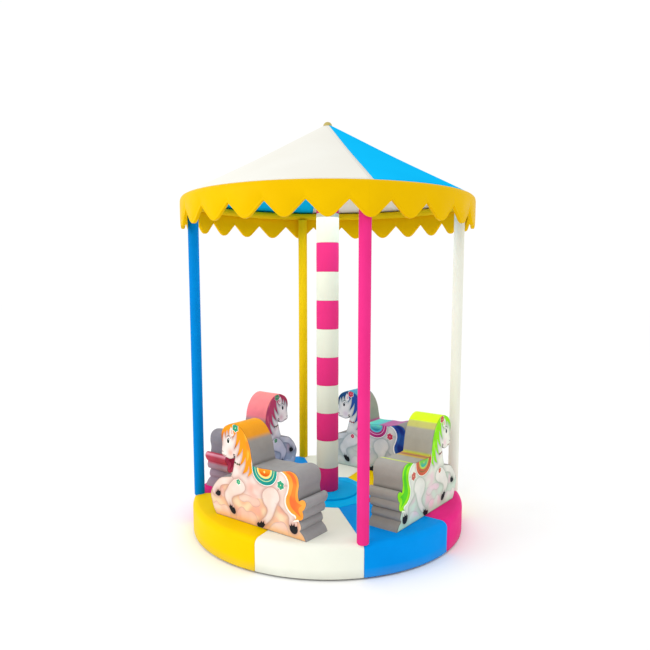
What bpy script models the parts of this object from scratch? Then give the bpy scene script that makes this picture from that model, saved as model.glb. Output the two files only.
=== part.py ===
"""Soft-play carousel: a padded turning drum with four foam horses under a conical canopy.

Metres, +Z up. The origin is on the floor, on the axis that the drum turns about.
An azimuth is in degrees, 0 towards -Y and rising towards +X.
"""

import bmesh
import bpy
from math import atan2, cos, degrees, hypot, radians, sin, tau
from mathutils import Matrix, Vector

# Driving dimensions, in metres and degrees
GAP = 0.0003                      # between pieces that touch
DRUM_R = 1.0                      # padded drum, outer face of its skirt
DECK_Z = 0.228                    # top of the padded deck
DECK_EDGE_R = 0.045               # rounding of the deck's rim
PAD_THICK = 0.060                 # foam on top of the board
SKIRT_THICK = 0.020               # foam round the board's edge
SKIRT_LOW = 0.012                 # the skirt ends clear of the floor
BOARD_THICK = 0.030
ARM_HEIGHT = 0.036
ARM_WIDTH = 0.060

POST_AZIMUTHS = (13.0, 93.0, 193.0, 273.0)
SEAM_AZIMUTHS = (13.0, 53.0, 93.0, 153.0, 193.0, 233.0, 273.0, 333.0)
CANOPY_SEAMS = (15.0, 117.0, 187.5, 251.0)
POST_R = 0.0375                   # padded sleeve
POST_CORE_R = 0.020               # steel core, which stands on the board
POST_CIRCLE = DRUM_R - POST_R     # sleeves lie flush with the drum's side
POST_SINK = 0.012                 # sleeve sits this deep in the deck's foam

OCTAGON_R = 0.362                 # centre deck, corners on the seams
PAD_INNER_R = 0.300               # the sectors reach in this far before the octagon cuts them
DISC_R = 0.232
DISC_THICK = 0.015
COLUMN_R = 0.0812
CORE_R = 0.045
BAND_FIRST_TOP = 0.422            # top of the lowest pink band
BAND_HEIGHT = 0.2075
COLUMN_TOP = 2.790

APEX_Z = 2.913                    # where the canopy's outer cone would come to a point
EAVE_R = 1.037                    # outer face of the valance
EAVE_Z = 2.370                    # the outer cone's height at that radius
CANOPY_THICK = 0.008
HOOP_TUBE_R = 0.0275
HOOP_R = 0.985
VALANCE_TIP_Z = 2.172
VALANCE_NOTCH_Z = 2.270
TOOTH_COUNT = 26
LOBE_ROUND = 0.42                 # share of a tooth's half width that its round tip takes
LOBE_FLANK = 0.72                 # share of its depth that the straight flanks take
STEPS_PER_TOOTH = 8

HUB_R = 0.140
HUB_LOW = 2.800
FINIAL_R = 0.0315
FINIAL_TOP = 2.926

HORSE_THICK = 0.220
HORSE_FACE = 0.835                # outer printed face, measured from the axis
HORSE_SHIFT = 0.045               # along the drum's edge, towards rising azimuth

FOOT_R = 0.060
FOOT_CIRCLE = 0.800
BEAM_WIDTH = 0.080
BEAM_HEIGHT = 0.040
BEAM_HALF = 0.860
BEAM_LOW = 0.012                  # the beams' height over the floor, on their feet
RACE_R = 0.240                    # slewing ring, outside
RACE_BORE_R = 0.120
RACE_FLANGE = 0.026               # thickness of its lower ring's flange
SPIGOT_R = 0.1585                 # the lower ring's collar, which the upper ring turns round
SPIGOT_HEIGHT = 0.045
RACE_CLEARANCE = 0.0015           # round the collar
RACE_LIFT = 0.0005                # between the two rings' faces

ROUND_STEPS = 90                  # facets round the drum and the canopy
ROUND_PHASE = 14.0                # facet edges stay clear of the seams
SMALL_STEPS = 24                  # facets round a post or the column

SLOPE = (APEX_Z - EAVE_Z) / EAVE_R
BOARD_TOP = DECK_Z - PAD_THICK - GAP
BOARD_LOW = BOARD_TOP - BOARD_THICK
ARM_TOP = BOARD_LOW - GAP
ARM_LOW = ARM_TOP - ARM_HEIGHT
BEAM_TOP = BEAM_LOW + BEAM_HEIGHT
RACE_LOW = BEAM_TOP + GAP

COLOURS = {
    "white": (0.93, 0.92, 0.87),
    "blue": (0.005, 0.30, 0.83),
    "pink": (0.84, 0.035, 0.23),
    "yellow": (0.98, 0.68, 0.003),
    "roof blue": (0.012, 0.54, 0.90),
    "roof white": (0.95, 0.95, 0.93),
    "disc blue": (0.005, 0.27, 0.60),
    "foam grey": (0.30, 0.25, 0.25),
    "steel": (0.45, 0.46, 0.48),
    "plywood": (0.62, 0.44, 0.26),
}


# Materials

def material(colour, roughness=0.45, metallic=0.0):
    found = bpy.data.materials.get(colour)
    if found:
        return found
    made = bpy.data.materials.new(colour)
    made.use_nodes = True
    shader = made.node_tree.nodes["Principled BSDF"]
    shader.inputs["Base Color"].default_value = (*COLOURS[colour], 1.0)
    shader.inputs["Roughness"].default_value = roughness
    shader.inputs["Metallic"].default_value = metallic
    made.diffuse_color = (*COLOURS[colour], 1.0)
    return made


# Placing and cutting

def around(azimuth, radius=1.0, z=0.0):
    """The point at an azimuth in degrees."""
    turn = radians(azimuth)
    return Vector((radius * sin(turn), -radius * cos(turn), z))


def along(azimuth):
    """The level direction towards rising azimuth."""
    turn = radians(azimuth)
    return Vector((cos(turn), sin(turn), 0.0))


def arc(centre, radius, start, stop, steps):
    """Points on a round stretch of a profile, angles in degrees from the level outward direction."""
    turns = [radians(start + (stop - start) * step / steps) for step in range(steps + 1)]
    return [(centre[0] + radius * cos(turn), centre[1] + radius * sin(turn)) for turn in turns]


def add_object(name, data, colour, roughness=0.45, metallic=0.0):
    made = bpy.data.objects.new(name, data)
    parts.objects.link(made)
    data.materials.append(material(colour, roughness, metallic))
    return made


def finish_mesh(bm, name, colour, roughness=0.45, metallic=0.0, smooth=True):
    bmesh.ops.recalc_face_normals(bm, faces=bm.faces)
    mesh = bpy.data.meshes.new(name)
    bm.to_mesh(mesh)
    bm.free()
    if smooth:
        mesh.shade_smooth()
        mesh.set_sharp_from_angle(angle=radians(35))
    return add_object(name, mesh, colour, roughness, metallic)


def ring(profile, steps=ROUND_STEPS, phase=ROUND_PHASE):
    """A closed profile of (radius, height) spun all the way round."""
    bm = bmesh.new()
    corners = [bm.verts.new(around(phase, radius, z)) for radius, z in profile]
    for here, there in zip(corners, corners[1:] + corners[:1]):
        bm.edges.new((here, there))
    bmesh.ops.spin(bm, geom=bm.verts[:] + bm.edges[:], cent=(0, 0, 0), axis=(0, 0, 1),
                   angle=tau, steps=steps, use_merge=True)
    bmesh.ops.recalc_face_normals(bm, faces=bm.faces)
    return bm


def slice_off(bm, point, normal):
    """Takes away what lies on the normal's side of a plane, and closes the cut."""
    cut = bmesh.ops.bisect_plane(bm, geom=bm.verts[:] + bm.edges[:] + bm.faces[:], dist=1e-6,
                                 plane_co=point, plane_no=normal, clear_outer=True)
    edges = [item for item in cut["geom_cut"] if isinstance(item, bmesh.types.BMEdge)]
    bmesh.ops.edgeloop_fill(bm, edges=edges)


def wedge(bm, start, stop):
    """Keeps what lies between two azimuths, less than half a turn apart, with half a gap at each."""
    slice_off(bm, along(start) * GAP / 2, -along(start))
    slice_off(bm, -along(stop) * GAP / 2, along(stop))


def turned(name, profile, colour, steps=SMALL_STEPS, roughness=0.45, metallic=0.0, collection=None):
    """A profile of (radius, height), top to bottom on its outer side, turned by a Screw modifier."""
    mesh = bpy.data.meshes.new(name)
    count = len(profile)
    closed = profile[0][0] > 0 or profile[-1][0] > 0
    edges = [(step, step + 1) for step in range(count - 1)]
    if closed:
        edges.append((count - 1, 0))
    mesh.from_pydata([(radius, 0.0, z) for radius, z in profile], edges, [])
    if collection is None:
        made = add_object(name, mesh, colour, roughness, metallic)
    else:
        made = bpy.data.objects.new(name, mesh)
        collection.objects.link(made)
    screw = made.modifiers.new("Turn", "SCREW")
    screw.steps = steps
    screw.render_steps = steps
    screw.use_merge_vertices = True
    screw.merge_threshold = 0.00001
    return made


def extruded(name, outlines, thickness, colour, roughness=0.45, smooth_points=False):
    """Closed flat outlines in X and Y, filled and extruded about Z = 0 as a 2D curve."""
    curve = bpy.data.curves.new(name, "CURVE")
    curve.dimensions = "2D"
    curve.fill_mode = "BOTH"
    curve.extrude = thickness / 2
    curve.resolution_u = 3
    for outline in outlines:
        spline = curve.splines.new("BEZIER" if smooth_points else "POLY")
        points = spline.bezier_points if smooth_points else spline.points
        points.add(len(outline) - 1)
        for point, corner in zip(points, outline):
            if smooth_points:
                x, y, kind = corner
                point.co = (x, y, 0.0)
                point.handle_left_type = kind
                point.handle_right_type = kind
            else:
                point.co = (*corner, 0.0, 1.0)
        spline.use_cyclic_u = True
    return add_object(name, curve, colour, roughness)


def box(name, size, place, turn, colour, collection=None, roughness=0.5, metallic=0.0):
    bm = bmesh.new()
    bmesh.ops.create_cube(bm, size=1.0)
    bmesh.ops.scale(bm, vec=size, verts=bm.verts)
    mesh = bpy.data.meshes.new(name)
    bm.to_mesh(mesh)
    bm.free()
    if collection is None:
        made = add_object(name, mesh, colour, roughness, metallic)
    else:
        made = bpy.data.objects.new(name, mesh)
        collection.objects.link(made)
    made.location = place
    made.rotation_euler = (0.0, 0.0, radians(turn))
    return made


def hide_guide(guide):
    guide.hide_render = True
    guide.display_type = "WIRE"


def combine(target, tool, operation):
    step = target.modifiers.new(operation.title(), "BOOLEAN")
    step.object = tool
    step.operation = operation
    step.solver = "EXACT"
    hide_guide(tool)


# The fixed base, which stays on the floor inside the drum

def make_base():
    place = (0, 0, BEAM_LOW + BEAM_HEIGHT / 2)
    beam = (2 * BEAM_HALF, BEAM_WIDTH, BEAM_HEIGHT)
    second_beam = (BEAM_WIDTH, 2 * BEAM_HALF, BEAM_HEIGHT)
    cross = box("base_cross", beam, place, 0, "steel", metallic=0.6)
    other = box("base_second_beam", second_beam, place, 0, "steel", cutters)
    combine(cross, other, "UNION")
    foot_top = BEAM_LOW + BEAM_HEIGHT / 2
    disc = [(0.0, foot_top), (FOOT_R, foot_top), (FOOT_R, 0.0), (0.0, 0.0)]
    for azimuth in (0, 90, 180, 270):
        foot = turned("base_foot_%d" % azimuth, disc, "steel", collection=cutters)
        foot.location = around(azimuth, FOOT_CIRCLE)
        combine(cross, foot, "UNION")

    flange_top = RACE_LOW + RACE_FLANGE
    collar_top = RACE_LOW + SPIGOT_HEIGHT
    profile = [(SPIGOT_R, collar_top), (SPIGOT_R, flange_top), (RACE_R, flange_top), (RACE_R, RACE_LOW),
               (RACE_BORE_R, RACE_LOW), (RACE_BORE_R, collar_top)]
    turned("slew_ring_lower", profile, "steel", steps=36, roughness=0.35, metallic=1.0)


# The turning frame under the deck

def make_turntable():
    low = RACE_LOW + RACE_FLANGE + RACE_LIFT
    high = ARM_LOW - GAP
    inner = SPIGOT_R + RACE_CLEARANCE
    profile = [(RACE_R, high), (RACE_R, low), (inner, low), (inner, high)]
    turned("slew_ring_upper", profile, "steel", steps=36, roughness=0.35, metallic=1.0)

    arm_size = (2 * (POST_CIRCLE - 0.03), ARM_WIDTH, ARM_HEIGHT)
    place = (0, 0, ARM_LOW + ARM_HEIGHT / 2)
    arms = box("turntable_arms", arm_size, place, POST_AZIMUTHS[0] - 90, "steel", metallic=0.6)
    other = box("turntable_second_arm", arm_size, place, POST_AZIMUTHS[1] - 90, "steel", cutters)
    combine(arms, other, "UNION")

    board_r = DRUM_R - SKIRT_THICK - 0.002
    bm = ring([(0.03, BOARD_LOW), (board_r, BOARD_LOW), (board_r, BOARD_TOP), (0.03, BOARD_TOP)])
    finish_mesh(bm, "turntable_board", "plywood", roughness=0.7)


# The padded deck

def post_socket(azimuth):
    """The space that a post takes in the deck's foam: its sleeve's foot, and its core below that."""
    sleeve = POST_R + GAP
    core = POST_CORE_R + GAP
    foot = DECK_Z - POST_SINK - GAP
    over = DECK_Z + 0.05
    under = BOARD_TOP - 0.02
    profile = [(0.0, over), (sleeve, over), (sleeve, foot), (core, foot), (core, under), (0.0, under)]
    socket = turned("post_socket_%d" % azimuth, profile, "steel", collection=cutters)
    socket.location = around(azimuth, POST_CIRCLE)
    return socket


def make_deck_pads():
    pad_low = DECK_Z - PAD_THICK
    skirt_in = DRUM_R - SKIRT_THICK
    rim = arc((DRUM_R - DECK_EDGE_R, DECK_Z - DECK_EDGE_R), DECK_EDGE_R, 0, 90, 4)
    skirt = [(skirt_in, pad_low), (skirt_in, SKIRT_LOW), (DRUM_R, SKIRT_LOW)]
    profile = [(PAD_INNER_R, pad_low)] + skirt + rim + [(PAD_INNER_R, DECK_Z)]
    names = ("blue_right", "pink_right", "yellow_back", "white_back",
             "blue_left", "pink_left", "yellow_front", "white_front")
    sockets = {azimuth: post_socket(azimuth) for azimuth in POST_AZIMUTHS}
    for index, name in enumerate(names):
        start = SEAM_AZIMUTHS[index]
        stop = SEAM_AZIMUTHS[(index + 1) % 8]
        bm = ring(profile)
        wedge(bm, start, stop)
        first = around(start, OCTAGON_R)
        second = around(stop, OCTAGON_R)
        outward = (first + second).normalized()
        slice_off(bm, first + outward * GAP, -outward)
        pad = finish_mesh(bm, "deck_pad_" + name, name.split("_")[0])
        for azimuth in (start, stop):
            if azimuth in sockets:
                combine(pad, sockets[azimuth], "DIFFERENCE")


def make_centre():
    corners = [around(azimuth, OCTAGON_R).xy for azimuth in SEAM_AZIMUTHS]
    bore = [around(15 * step, CORE_R + GAP).xy for step in range(24)]
    deck = extruded("centre_deck", [corners, bore], PAD_THICK, "blue")
    deck.location.z = DECK_Z - PAD_THICK / 2
    disc_low = DECK_Z + GAP
    disc_top = DECK_Z + DISC_THICK
    edge = [(DISC_R - 0.006, disc_top), (DISC_R - 0.0015, disc_top - 0.002), (DISC_R, disc_top - 0.006)]
    bore = [(DISC_R, disc_low), (CORE_R + GAP, disc_low), (CORE_R + GAP, disc_top)]
    turned("centre_disc", edge + bore, "disc blue", steps=48)


# The column in the middle

def band_heights():
    """The heights at which one band ends and the next begins."""
    heights = [DECK_Z + DISC_THICK]
    z = BAND_FIRST_TOP
    while z < COLUMN_TOP:
        heights.append(z)
        z += BAND_HEIGHT
    return heights + [COLUMN_TOP]


def make_column():
    top = HUB_LOW - GAP
    foot = BOARD_TOP + GAP
    tube = [(0.0, top), (CORE_R, top), (CORE_R, foot), (0.0, foot)]
    turned("column_core", tube, "steel", roughness=0.4, metallic=1.0)
    heights = band_heights()
    for index, (low, high) in enumerate(zip(heights, heights[1:])):
        colour = ("pink", "white")[index % 2]
        bottom = low + GAP
        inner = CORE_R + GAP
        sleeve = [(inner, high), (COLUMN_R, high), (COLUMN_R, bottom), (inner, bottom)]
        turned("column_band_%02d_%s" % (index + 1, colour), sleeve, colour)


# Posts, eave hoop and canopy

def cone_z(radius, depth=0.0):
    """Height of the canopy's outer cone at a radius, or of a surface some depth under it."""
    return APEX_Z - SLOPE * radius - depth * hypot(1.0, SLOPE)


def hoop_z():
    """The hoop's tube lies just under the canopy."""
    return cone_z(HOOP_R, CANOPY_THICK + GAP + HOOP_TUBE_R)


def make_posts():
    top = hoop_z() - HOOP_TUBE_R - GAP
    foot = DECK_Z - POST_SINK
    core_foot = BOARD_TOP + GAP
    core = [(POST_CORE_R, foot), (POST_CORE_R, core_foot), (0.0, core_foot)]
    profile = [(0.0, top), (POST_R, top), (POST_R, foot)] + core
    for colour, azimuth in zip(("pink", "white", "yellow", "blue"), POST_AZIMUTHS):
        post = turned("post_" + colour, profile, colour)
        post.location = around(azimuth, POST_CIRCLE)


def make_hoop():
    tube = arc((HOOP_R, hoop_z()), HOOP_TUBE_R, 0, 315, 7)
    finish_mesh(ring(tube), "eave_hoop", "yellow")


def make_canopy():
    inner = FINIAL_R + 0.0005
    outer = HOOP_R + HOOP_TUBE_R
    profile = [(inner, cone_z(inner, CANOPY_THICK)), (outer, cone_z(outer, CANOPY_THICK)),
               (outer, cone_z(outer)), (inner, cone_z(inner))]
    names = (("blue_right", "roof blue"), ("white_back", "roof white"), ("blue_left", "roof blue"),
             ("white_front", "roof white"))
    for index, (name, colour) in enumerate(names):
        bm = ring(profile)
        wedge(bm, CANOPY_SEAMS[index], CANOPY_SEAMS[(index + 1) % 4])
        finish_mesh(bm, "canopy_" + name, colour)

    top = cone_z(FINIAL_R, CANOPY_THICK + GAP)
    shoulder = (HUB_R, cone_z(HUB_R, CANOPY_THICK + GAP))
    hub = [(0.0, top), (FINIAL_R, top), shoulder, (HUB_R, HUB_LOW), (0.0, HUB_LOW)]
    turned("crown_hub", hub, "steel", steps=30, roughness=0.4, metallic=1.0)

    dome_low = cone_z(FINIAL_R)
    dome_height = FINIAL_TOP - dome_low
    turns = [radians(15 * step) for step in range(7)]
    dome = [(FINIAL_R * sin(turn), dome_low + dome_height * cos(turn)) for turn in turns]
    turned("finial", dome + [(FINIAL_R, top + GAP), (0.0, top + GAP)], "yellow")


def lobe(phase):
    """How far a tooth hangs down, 0 at a notch and 1 at its tip: straight flanks and a round tip."""
    distance = abs((phase % 1.0) - 0.5) * 2
    if distance > LOBE_ROUND:
        return (1 - distance) / (1 - LOBE_ROUND) * LOBE_FLANK
    return LOBE_FLANK + (1 - LOBE_FLANK) * (1 - (distance / LOBE_ROUND) ** 2)


def make_valance():
    inner = HOOP_R + HOOP_TUBE_R + GAP
    top = cone_z(inner)
    shoulder = EAVE_R - inner
    shares = ((0.0, 0.0), (0.55, 0.35), (0.88, 0.8), (1.0, 1.45))
    rim = [(inner + shoulder * out, top - shoulder * down) for out, down in shares]
    profile = rim + [(EAVE_R, VALANCE_NOTCH_Z), (inner, VALANCE_NOTCH_Z)]
    tooth = 360.0 / TOOTH_COUNT
    for index, name in enumerate(("right", "back", "left", "front")):
        bm = ring(profile, TOOTH_COUNT * STEPS_PER_TOOTH, -tooth / 2)
        for vert in bm.verts:
            if abs(vert.co.z - VALANCE_NOTCH_Z) < GAP:
                azimuth = degrees(atan2(vert.co.x, -vert.co.y))
                vert.co.z -= lobe((azimuth + tooth / 2) / tooth) * (VALANCE_NOTCH_Z - VALANCE_TIP_Z)
        wedge(bm, POST_AZIMUTHS[index], POST_AZIMUTHS[(index + 1) % 4])
        finish_mesh(bm, "valance_" + name, "yellow")


# The horses

SMOOTH = "AUTO"
SHARP = "VECTOR"

# Side outline: X forward from the horse's middle, Z up from the deck
HORSE_OUTLINE = (
    (-0.422, 0.000, SHARP), (-0.378, 0.075, SMOOTH), (-0.366, 0.122, SHARP),
    (-0.390, 0.134, SMOOTH), (-0.400, 0.175, SMOOTH), (-0.418, 0.215, SMOOTH), (-0.421, 0.254, SMOOTH),
    (-0.398, 0.264, SMOOTH), (-0.367, 0.250, SHARP),
    (-0.360, 0.290, SMOOTH), (-0.368, 0.356, SMOOTH), (-0.352, 0.404, SMOOTH), (-0.308, 0.424, SMOOTH),
    (-0.255, 0.418, SMOOTH), (-0.200, 0.404, SMOOTH), (-0.120, 0.403, SMOOTH), (-0.040, 0.398, SMOOTH),
    (0.018, 0.400, SHARP),
    (0.030, 0.460, SMOOTH), (0.044, 0.525, SMOOTH), (0.078, 0.590, SMOOTH), (0.128, 0.636, SMOOTH),
    (0.185, 0.652, SMOOTH), (0.243, 0.638, SMOOTH), (0.288, 0.606, SMOOTH), (0.307, 0.560, SMOOTH),
    (0.299, 0.505, SMOOTH), (0.304, 0.460, SMOOTH), (0.304, 0.432, SMOOTH), (0.262, 0.414, SMOOTH),
    (0.215, 0.410, SMOOTH), (0.178, 0.432, SHARP),
    (0.190, 0.385, SMOOTH), (0.205, 0.330, SMOOTH), (0.222, 0.291, SHARP),
    (0.265, 0.282, SMOOTH), (0.320, 0.265, SMOOTH), (0.358, 0.235, SMOOTH), (0.402, 0.180, SMOOTH),
    (0.421, 0.132, SMOOTH), (0.408, 0.080, SMOOTH), (0.390, 0.032, SMOOTH), (0.368, 0.000, SHARP),
)


def make_horses():
    """A horse stands midway between two posts, side on to the axis, and heads along the drum's edge."""
    stands = (("orange", 323, -1), ("green", 53, 1), ("blue", 143, 1), ("pink", 233, -1))
    for colour, azimuth, heading in stands:
        horse = extruded("horse_" + colour, [HORSE_OUTLINE], HORSE_THICK, "foam grey", smooth_points=True)
        forward = along(azimuth) * heading
        up = Vector((0, 0, 1))
        turn = Matrix((forward, up, forward.cross(up))).transposed().to_4x4()
        place = around(azimuth, HORSE_FACE - HORSE_THICK / 2, DECK_Z + GAP) + along(azimuth) * HORSE_SHIFT
        horse.matrix_world = Matrix.Translation(place) @ turn


for old in list(bpy.data.objects):
    bpy.data.objects.remove(old, do_unlink=True)
parts = bpy.data.collections.new("carousel")
bpy.context.scene.collection.children.link(parts)
cutters = bpy.data.collections.new("cutters")
bpy.context.scene.collection.children.link(cutters)

make_base()
make_turntable()
make_deck_pads()
make_centre()
make_column()
make_posts()
make_hoop()
make_canopy()
make_valance()
make_horses()
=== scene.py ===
"""Soft-play carousel: vinyl-covered foam drum, posts, column and horses under a coated fabric canopy.

Metres, +Z up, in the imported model's frame. The origin is on the floor, on the axis that the drum turns
about. An azimuth is in degrees, 0 towards -Y and rising towards +X.
"""

from math import atan2, cos, degrees, exp, hypot, pi, radians, sin

import bmesh
import bpy
from mathutils import Matrix, Vector, noise
from mathutils.geometry import delaunay_2d_cdt


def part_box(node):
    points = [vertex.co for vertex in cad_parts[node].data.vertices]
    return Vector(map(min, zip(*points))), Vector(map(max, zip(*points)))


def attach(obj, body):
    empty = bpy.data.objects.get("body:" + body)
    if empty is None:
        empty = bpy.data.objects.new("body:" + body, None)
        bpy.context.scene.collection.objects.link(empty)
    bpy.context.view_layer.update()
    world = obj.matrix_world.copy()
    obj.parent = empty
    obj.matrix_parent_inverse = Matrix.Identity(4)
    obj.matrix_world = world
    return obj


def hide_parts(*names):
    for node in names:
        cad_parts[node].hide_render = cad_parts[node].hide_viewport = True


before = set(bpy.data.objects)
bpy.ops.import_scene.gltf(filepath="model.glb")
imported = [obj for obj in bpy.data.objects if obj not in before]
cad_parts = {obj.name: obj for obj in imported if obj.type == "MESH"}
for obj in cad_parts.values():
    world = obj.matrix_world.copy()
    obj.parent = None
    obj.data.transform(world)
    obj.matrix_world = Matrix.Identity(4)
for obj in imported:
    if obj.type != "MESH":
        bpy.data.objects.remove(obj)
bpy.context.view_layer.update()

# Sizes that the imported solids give
DECK_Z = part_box("centre_deck")[1].z
PAD_THICK = DECK_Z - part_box("centre_deck")[0].z
SKIRT_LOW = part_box("deck_pad_white_front")[0].z
DISC_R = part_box("centre_disc")[1].x
DISC_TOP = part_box("centre_disc")[1].z
COLUMN_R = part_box("column_band_01_pink")[1].x
CORE_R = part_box("column_core")[1].x
EAVE_R = -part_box("valance_front")[0].y
VALANCE_TIP_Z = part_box("valance_front")[0].z
FINIAL_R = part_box("finial")[1].x
FINIAL_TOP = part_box("finial")[1].z
POST_TOP_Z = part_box("post_pink")[1].z
hoop_low, hoop_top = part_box("eave_hoop")
HOOP_TUBE_R = (hoop_top.z - hoop_low.z) / 2
HOOP_R = hoop_top.x - HOOP_TUBE_R
HOOP_Z = hoop_low.z + HOOP_TUBE_R

# Sizes that the solids are built from
DRUM_R = 1.0
DECK_EDGE_R = 0.045
SKIRT_THICK = 0.020
OCTAGON_R = 0.362
POST_AZIMUTHS = (13.0, 93.0, 193.0, 273.0)
SEAM_AZIMUTHS = (13.0, 53.0, 93.0, 153.0, 193.0, 233.0, 273.0, 333.0)
CANOPY_SEAMS = (15.0, 117.0, 187.5, 251.0)
POST_R = 0.0375
POST_FOOT_Z = 0.216
APEX_Z = 2.913
EAVE_Z = 2.370
SLOPE = (APEX_Z - EAVE_Z) / 1.037
VALANCE_NOTCH_Z = 2.270
TOOTH_COUNT = 26
HORSE_THICK = 0.220
HORSE_FACE = 0.835                # the outer face's distance from the axis
HORSE_SHIFT = 0.045               # forward along the deck from the pad's middle

# Sizes of the covers
GAP = 0.0003                      # between a cover and its neighbour
SEAM_SOFT = 0.006                 # rounding of a pad along its sewn seams
PAD_DIP = 0.003                   # how far a pad's crown is pulled down along its seams
DIP_REACH = 0.10                  # how far from a seam the crown is level again
SLEEVE_BELLY = 0.0008
FLAP_THICK = 0.0012
FLAP_HALF = 19                    # degrees of the post's round, either side of the flap's middle
CANOPY_SAG = 0.006
CANOPY_FABRIC = 0.0012
THREAD_MIDDLE = 0.014             # two rows of thread lie either side of this distance from a seam
THREAD_APART = 0.007
THREAD_THICK = 0.0012


def around(azimuth, radius=1.0, z=0.0):
    """The point at an azimuth in degrees."""
    turn = radians(azimuth)
    return Vector((radius * sin(turn), -radius * cos(turn), z))


def along(azimuth):
    """The level direction towards rising azimuth."""
    turn = radians(azimuth)
    return Vector((cos(turn), sin(turn), 0.0))


def azimuth_of(place):
    return degrees(atan2(place.x, -place.y))


def stretches(azimuths):
    """Each stretch from one azimuth to the next, as its start and its width."""
    return [(start, (stop - start) % 360) for start, stop in zip(azimuths, azimuths[1:] + azimuths[:1])]


def arc(centre, radius, start, stop, steps):
    """Points on a round stretch of a profile, angles in degrees from the level outward direction."""
    turns = [radians(start + (stop - start) * step / steps) for step in range(steps + 1)]
    return [(centre[0] + radius * cos(turn), centre[1] + radius * sin(turn)) for turn in turns]


def cone_z(radius):
    """Height of the canopy's outer cone at a radius."""
    return APEX_Z - SLOPE * radius


def fade(start, stop, value):
    """0 before the start, 1 after the stop, and a soft change between them."""
    share = min(max((value - start) / (stop - start), 0.0), 1.0)
    return share * share * (3 - 2 * share)


# Materials

def linear(colour):
    """A colour given as sRGB hex, in linear light."""
    parts = [int(colour[at:at + 2], 16) / 255 for at in (0, 2, 4)]
    bent = [part / 12.92 if part <= 0.04045 else ((part + 0.055) / 1.055) ** 2.4 for part in parts]
    return tuple(bent) + (1.0,)


def add(tree, kind, links=None, values=None, **settings):
    """Adds a node with its settings, the values of its sockets and the sockets that feed it."""
    node = tree.nodes.new("ShaderNode" + kind)
    for name, value in settings.items():
        setattr(node, name, value)
    for socket, value in (values or {}).items():
        node.inputs[socket].default_value = value
    for socket, source in (links or {}).items():
        tree.links.new(source, node.inputs[socket])
    return node


def clouds(tree, place, size, detail, **more):
    """Cloudy noise whose largest clouds are a size across, in metres."""
    values = {"Scale": 1 / size, "Detail": detail, **more}
    return add(tree, "TexNoise", {"Vector": place}, values).outputs["Fac"]


def ranged(tree, value, low, high, to_low=0.0, to_high=1.0):
    """A value's stretch from low to high, laid over another stretch."""
    values = {"From Min": low, "From Max": high, "To Min": to_low, "To Max": to_high}
    return add(tree, "MapRange", {"Value": value}, values).outputs["Result"]


def blended(tree, share, first, second, kind="MIX"):
    """Two colours blended by a share. Each is a socket or a plain value, a colour as sRGB hex."""
    links = {}
    values = {}
    for socket, given in (("Factor", share), ("A", first), ("B", second)):
        if isinstance(given, bpy.types.NodeSocket):
            links[socket] = given
        else:
            values[socket] = linear(given) if isinstance(given, str) else given
    return add(tree, "Mix", links, values, data_type="RGBA", blend_type=kind).outputs["Result"]


def bumped(tree, height, strength, distance, under=None):
    """The normal of a height, over the normal of what lies under it."""
    links = {"Height": height}
    if under:
        links["Normal"] = under
    return add(tree, "Bump", links, {"Strength": strength, "Distance": distance}).outputs["Normal"]


def new_material(name, roughness, specular, metallic=0.0):
    """A material with its shader and the object's own coordinates, ready for colour and bump."""
    made = bpy.data.materials.new(name)
    made.use_nodes = True
    tree = made.node_tree
    shader = tree.nodes["Principled BSDF"]
    shader.inputs["Roughness"].default_value = roughness
    shader.inputs["Metallic"].default_value = metallic
    shader.inputs["Specular IOR Level"].default_value = specular
    return made, tree, shader, add(tree, "TexCoord").outputs["Object"]


def feed(tree, shader, colour, normal=None, roughness=None):
    """Links what gives a material's colour and, where there is one, its normal and its roughness."""
    for socket, source in (("Base Color", colour), ("Normal", normal), ("Roughness", roughness)):
        if source:
            tree.links.new(source, shader.inputs[socket])


def height_of(tree, place):
    return add(tree, "SeparateXYZ", {"Vector": place}).outputs["Z"]


def vinyl_grain(tree, place):
    """Embossed leather grain over the slow waves of foam under a tight cover."""
    # The real grain is about 0.8 mm, drawn at 2.5 mm so that a close view shows it
    grain = add(tree, "TexVoronoi", {"Vector": place}, {"Scale": 1 / 0.0025}, feature="SMOOTH_F1")
    fine = bumped(tree, grain.outputs["Distance"], 0.10, 0.0004)
    return bumped(tree, clouds(tree, place, 0.14, 2.0), 0.35, 0.006, fine)


def coated_vinyl(name, colour, shade, roughness=0.46, dusty=0.0, shade_at_foot=0.0):
    """PVC-coated fabric, calendered with a fine grain: even strong colour and a faint, wide highlight."""
    made, tree, shader, place = new_material(name, roughness, 0.025)
    drift = clouds(tree, place, 0.35, 4.0, Roughness=0.6)
    tint = blended(tree, ranged(tree, drift, 0.35, 0.70), colour, shade)
    if dusty:
        # Dust lies on the lowest 75 mm
        low = ranged(tree, height_of(tree, place), 0.012, 0.075, dusty, 0.0)
        spots = add(tree, "Math", {0: low, 1: drift}, operation="MULTIPLY").outputs["Value"]
        tint = blended(tree, spots, tint, "8A8580")
    if shade_at_foot:
        # Painted shade: the lower part of the column is darker, more so towards its foot
        foot_shading = ranged(tree, height_of(tree, place), 0.25, 1.3, 1 - shade_at_foot)
        tint = blended(tree, 1.0, tint, foot_shading, "MULTIPLY")
    rubbed = ranged(tree, drift, 0.3, 0.7, roughness - 0.05, roughness + 0.06)
    feed(tree, shader, tint, vinyl_grain(tree, place), rubbed)
    return made


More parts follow.
